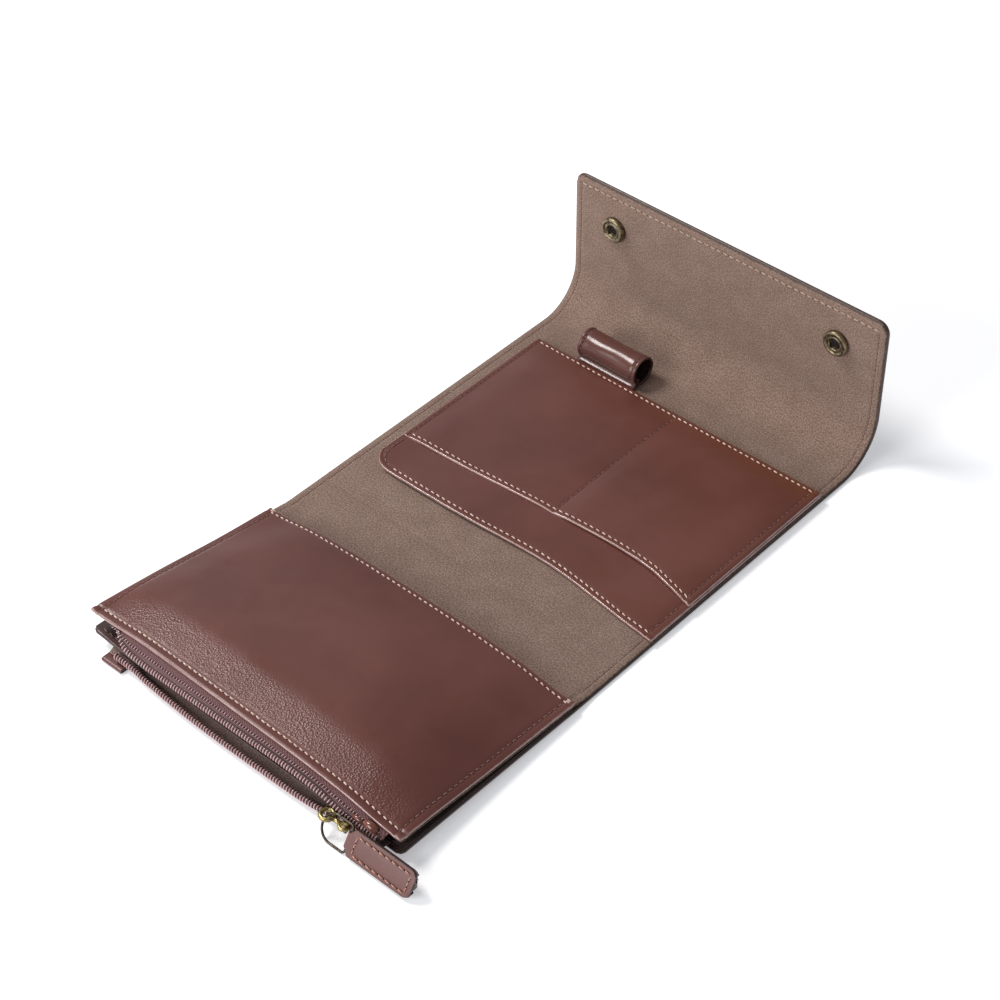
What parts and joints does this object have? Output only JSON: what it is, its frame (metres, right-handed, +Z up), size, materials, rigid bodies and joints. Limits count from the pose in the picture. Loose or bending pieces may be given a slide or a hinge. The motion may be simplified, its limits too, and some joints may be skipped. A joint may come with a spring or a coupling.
{
  "type": "passport holder",
  "caption": "Fold-over leather passport holder with a large padded pocket, card pockets, pen loop, zipped coin pocket and a snap flap, lying open with its flap raised.",
  "frame": {"origin": "middle of the back panel's underside, which lies flat on the table", "axes": "+Z up from the table, +Y from the zip edge towards the flap, +X to the slider end of the zip"},
  "size_m": [0.1561, 0.2638, 0.0618],
  "materials": {
    "leather": "semi-gloss smooth brown",
    "outer_leather": "semi-gloss smooth brown",
    "suede": "matt taupe microsuede",
    "coin_lining": "matt dark woven",
    "board": "matt bonded fibre board",
    "zip_tape": "matt woven tape",
    "zip_teeth": "satin nylon coil",
    "antique_brass": "antiqued, worn bright on the edges",
    "bronze_wire": "dark bronze plating"
  },
  "bodies": {
    "back_panel": {"outer_cover_back": "outer_leather", "stiffener_back": "board", "lining_back": "suede", "card_panel_backing": "leather", "card_pocket": "leather", "pen_loop": "leather"},
    "spine": {"outer_cover_spine": "outer_leather", "lining_spine": "suede"},
    "front_panel": {"outer_cover_front": "outer_leather", "coin_pocket_lining": "coin_lining", "lining_front": "suede", "passport_pocket": "leather", "strap_loop": "leather", "zip_tape_upper": "zip_tape", "zip_tape_lower": "zip_tape", "zip_chain_upper": "zip_teeth", "zip_chain_lower": "zip_teeth", "snap_studs": "antique_brass"},
    "slider": {"slider_body": "antique_brass", "slider_bail": "antique_brass"},
    "pull_link": {"pull_link": "antique_brass"},
    "pull_ring": {"wire_ring": "bronze_wire"},
    "pull_tab": {"pull_tab": "leather"},
    "flap_bend": {"outer_cover_bend": "outer_leather", "lining_bend": "suede"},
    "flap": {"outer_cover_flap": "outer_leather", "stiffener_flap": "board", "lining_flap": "suede", "snap_sockets": "antique_brass", "snap_caps": "antique_brass"}
  },
  "joints": [
    {"name": "spine_fold", "type": "hinge", "parent": "back_panel", "child": "spine", "pos_m": [0, -0.05675, 0.0023], "axis": [-1, 0, 0], "range_deg": [0, 90]},
    {"name": "front_fold", "type": "hinge", "parent": "spine", "child": "front_panel", "pos_m": [0, -0.07825, 0.0023], "axis": [-1, 0, 0], "range_deg": [0, 90]},
    {"name": "flap_root", "type": "hinge", "parent": "back_panel", "child": "flap_bend", "pos_m": [0, 0.05675, 0.0023], "axis": [1, 0, 0], "range_deg": [-28, 45]},
    {"name": "flap_top", "type": "hinge", "parent": "flap_bend", "child": "flap", "pos_m": [0, 0.07445, 0.02], "axis": [1, 0, 0], "range_deg": [-28, 45]},
    {"name": "zip_slide", "type": "slide", "parent": "front_panel", "child": "slider", "axis": [-1, 0, 0], "range_m": [0, 0.1065]},
    {"name": "link_swing", "type": "hinge", "parent": "slider", "child": "pull_link", "pos_m": [0.053, -0.18045, 0.00645], "axis": [0, 0, 1], "range_deg": [0, 170]},
    {"name": "ring_turn", "type": "hinge", "parent": "pull_link", "child": "pull_ring", "pos_m": [0.0452, -0.18045, 0.00645], "axis": [0, 0, 1], "range_deg": [-170, 0]},
    {"name": "tab_swing", "type": "hinge", "parent": "pull_ring", "child": "pull_tab", "pos_m": [0.0566, -0.18235, 0.00482], "axis": [0, 0.5592, 0.829], "range_deg": [-110, 0]}
  ],
  "couplings": [
    {"joint": "front_fold", "follows": "spine_fold", "ratio": 1},
    {"joint": "flap_top", "follows": "flap_root", "ratio": 1},
    {"joint": "ring_turn", "follows": "link_swing", "ratio": -1}
  ]
}
